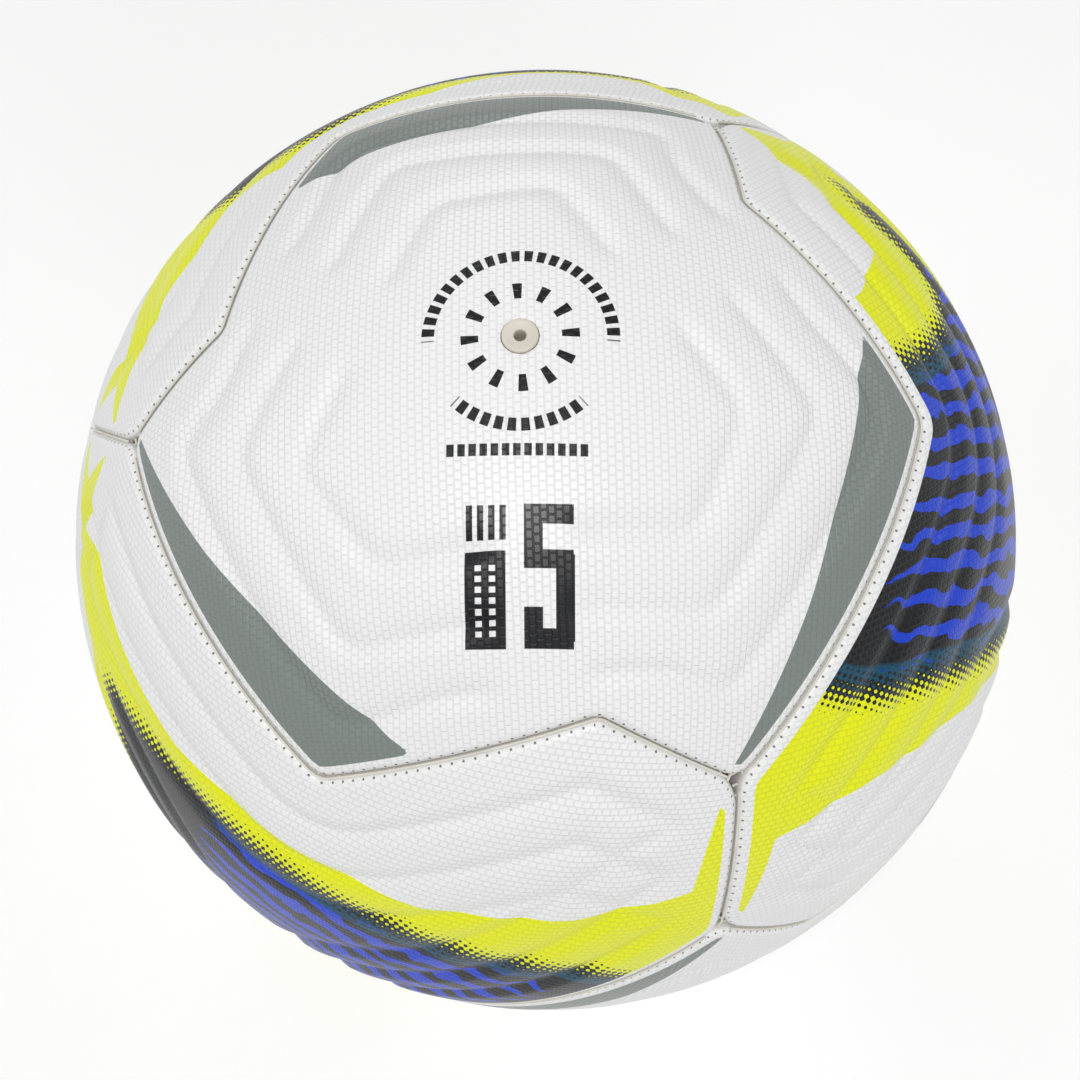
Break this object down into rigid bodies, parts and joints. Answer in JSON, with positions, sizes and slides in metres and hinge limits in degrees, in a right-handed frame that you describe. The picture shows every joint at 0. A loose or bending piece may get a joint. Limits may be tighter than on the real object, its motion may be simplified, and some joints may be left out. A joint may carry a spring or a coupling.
{
  "type": "stitched football",
  "caption": "Round stitched ball of eight padded panels over a rubber bladder, with a needle valve; white with grey, yellow, black and blue printing.",
  "frame": {"origin": "the centre of the ball", "axes": "+Z out through the valve, so the ball rests on its lowest point with the valve on top; -Y towards the size mark beside the valve; +X to the right of it"},
  "size_m": [0.2196, 0.2196, 0.22],
  "materials": {
    "wing_skin": "soft coated synthetic leather, fine pressed texture, white with grey corner bands",
    "web_skin": "soft coated synthetic leather, fine pressed texture, printed yellow, black and blue over white",
    "panel_foam": "fine closed-cell foam",
    "lining_cloth": "plain woven polyester and cotton, laminated",
    "seam_thread": "waxed polyester sewing thread",
    "bladder_rubber": "smooth butyl rubber",
    "stem_rubber": "moulded butyl rubber",
    "plug_rubber": "moulded cream rubber, satin",
    "tape": "rubberised cloth tape"
  },
  "bodies": {
    "root": {"balance_tape": "tape", "bladder": "bladder_rubber", "long_seam_thread_1": "seam_thread", "long_seam_thread_10": "seam_thread", "long_seam_thread_11": "seam_thread", "long_seam_thread_12": "seam_thread", "long_seam_thread_2": "seam_thread", "long_seam_thread_3": "seam_thread", "long_seam_thread_4": "seam_thread", "long_seam_thread_5": "seam_thread", "long_seam_thread_6": "seam_thread", "long_seam_thread_7": "seam_thread", "long_seam_thread_8": "seam_thread", "long_seam_thread_9": "seam_thread", "short_seam_thread_1": "seam_thread", "short_seam_thread_2": "seam_thread", "short_seam_thread_3": "seam_thread", "short_seam_thread_4": "seam_thread", "short_seam_thread_5": "seam_thread", "short_seam_thread_6": "seam_thread", "valve_stem": "stem_rubber", "valve_tape": "tape", "web_panel_1_foam": "panel_foam", "web_panel_1_lining": "lining_cloth", "web_panel_1_skin": "web_skin", "web_panel_2_foam": "panel_foam", "web_panel_2_lining": "lining_cloth", "web_panel_2_skin": "web_skin", "web_panel_3_foam": "panel_foam", "web_panel_3_lining": "lining_cloth", "web_panel_3_skin": "web_skin", "web_panel_4_foam": "panel_foam", "web_panel_4_lining": "lining_cloth", "web_panel_4_skin": "web_skin", "wing_panel_1_foam": "panel_foam", "wing_panel_1_lining": "lining_cloth", "wing_panel_1_skin": "wing_skin", "wing_panel_2_foam": "panel_foam", "wing_panel_2_lining": "lining_cloth", "wing_panel_2_skin": "wing_skin", "wing_panel_3_foam": "panel_foam", "wing_panel_3_lining": "lining_cloth", "wing_panel_3_skin": "wing_skin", "wing_panel_4_foam": "panel_foam", "wing_panel_4_lining": "lining_cloth", "wing_panel_4_skin": "wing_skin"},
    "valve_plug": {"valve_plug": "plug_rubber"}
  },
  "joints": [
    {"name": "valve_plug_pull", "type": "slide", "parent": "root", "child": "valve_plug", "axis": [0, 0, 1], "range_m": [0, 0.024]}
  ]
}
